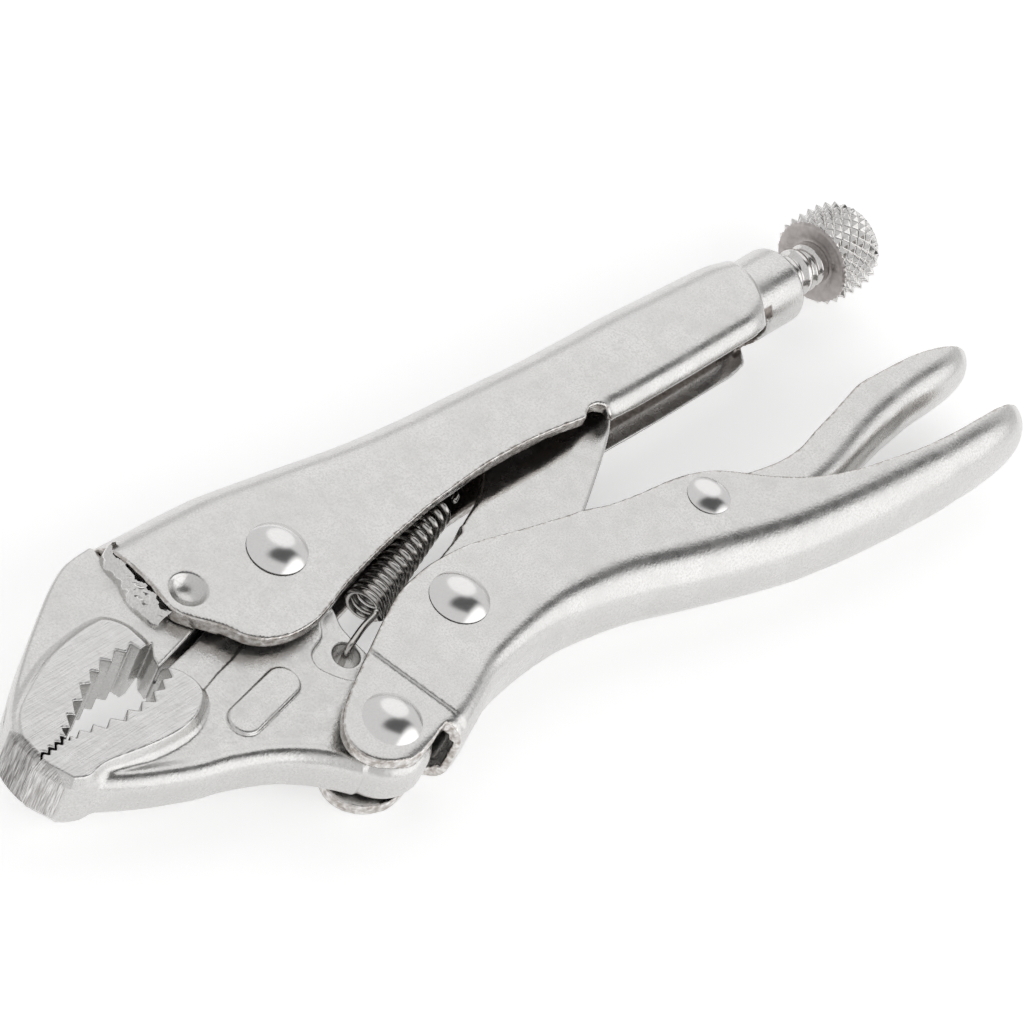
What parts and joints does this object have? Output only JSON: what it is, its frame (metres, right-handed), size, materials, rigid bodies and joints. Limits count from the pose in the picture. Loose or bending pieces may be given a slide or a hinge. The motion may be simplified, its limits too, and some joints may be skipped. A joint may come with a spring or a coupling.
{
  "type": "locking pliers",
  "caption": "Over-centre locking pliers with toothed jaws, folded sheet handles, toggle link, release lever and a knurled adjusting screw; the jaws open as the lever swings away.",
  "frame": {"origin": "centre of the bounding box, at the lowest point, with the pliers lying on their far side, jaws closed and toggle locked", "axes": "+X from the jaws to the adjusting knob along the screw, +Y from the hand lever to the back of the fixed handle, +Z out of the side that faces up"},
  "size_m": [0.183, 0.0626, 0.0178],
  "materials": {
    "pearl_nickel": "satin nickel plate on pressed sheet steel",
    "forged_nickel": "satin nickel plate on forged steel, jaw sides ground flat",
    "weld": "rough plated weld bead",
    "polished_rivet": "polished domed rivet",
    "screw_nickel": "bright plated thread and diamond knurl",
    "spring_steel": "dark drawn wire"
  },
  "bodies": {
    "handle": {"fixed_handle": "pearl_nickel", "upper_jaw": "forged_nickel", "weld_bead_near": "weld", "weld_bead_far": "weld", "jaw_pivot_rivet": "polished_rivet", "tension_spring": "spring_steel"},
    "jaw": {"lower_jaw": "forged_nickel"},
    "hand_lever": {"lever": "pearl_nickel", "lever_pivot_rivet": "polished_rivet", "link_pivot_rivet": "polished_rivet", "release_rivet": "polished_rivet"},
    "link": {"toggle_link": "pearl_nickel"},
    "release": {"release_lever": "pearl_nickel"},
    "screw": {"adjusting_screw": "screw_nickel"},
    "knob": {"knurled_knob": "screw_nickel"}
  },
  "joints": [
    {"name": "jaw_hinge", "type": "hinge", "parent": "handle", "child": "jaw", "pos_m": [-0.03998, 0.01546, 0.0089], "axis": [0, 0, 1], "range_deg": [0, 26], "deforming": ["tension_spring"]},
    {"name": "lever_hinge", "type": "hinge", "parent": "jaw", "child": "hand_lever", "pos_m": [-0.04538, -0.01474, 0.0089], "axis": [0, 0, 1], "range_deg": [-71.6, 0]},
    {"name": "link_hinge", "type": "hinge", "parent": "hand_lever", "child": "link", "pos_m": [-0.02238, -0.00494, 0.0089], "axis": [0, 0, 1], "range_deg": [0, 72.4]},
    {"name": "release_hinge", "type": "hinge", "parent": "hand_lever", "child": "release", "pos_m": [0.02462, -0.01194, 0.0089], "axis": [0, 0, 1], "range_deg": [-8, 0]},
    {"name": "screw_travel", "type": "slide", "parent": "handle", "child": "screw", "axis": [1, 0, 0], "range_m": [0, 0.015]},
    {"name": "knob_turn", "type": "hinge", "parent": "screw", "child": "knob", "pos_m": [0.08502, 0.01446, 0.0089], "axis": [1, 0, 0], "range_deg": [0, 2160]}
  ],
  "couplings": [
    {"joint": "lever_hinge", "follows": "jaw_hinge", "ratio": -2.75},
    {"joint": "link_hinge", "follows": "jaw_hinge", "ratio": 2.78},
    {"joint": "knob_turn", "follows": "screw_travel", "rad_per_m": 2513.3}
  ]
}
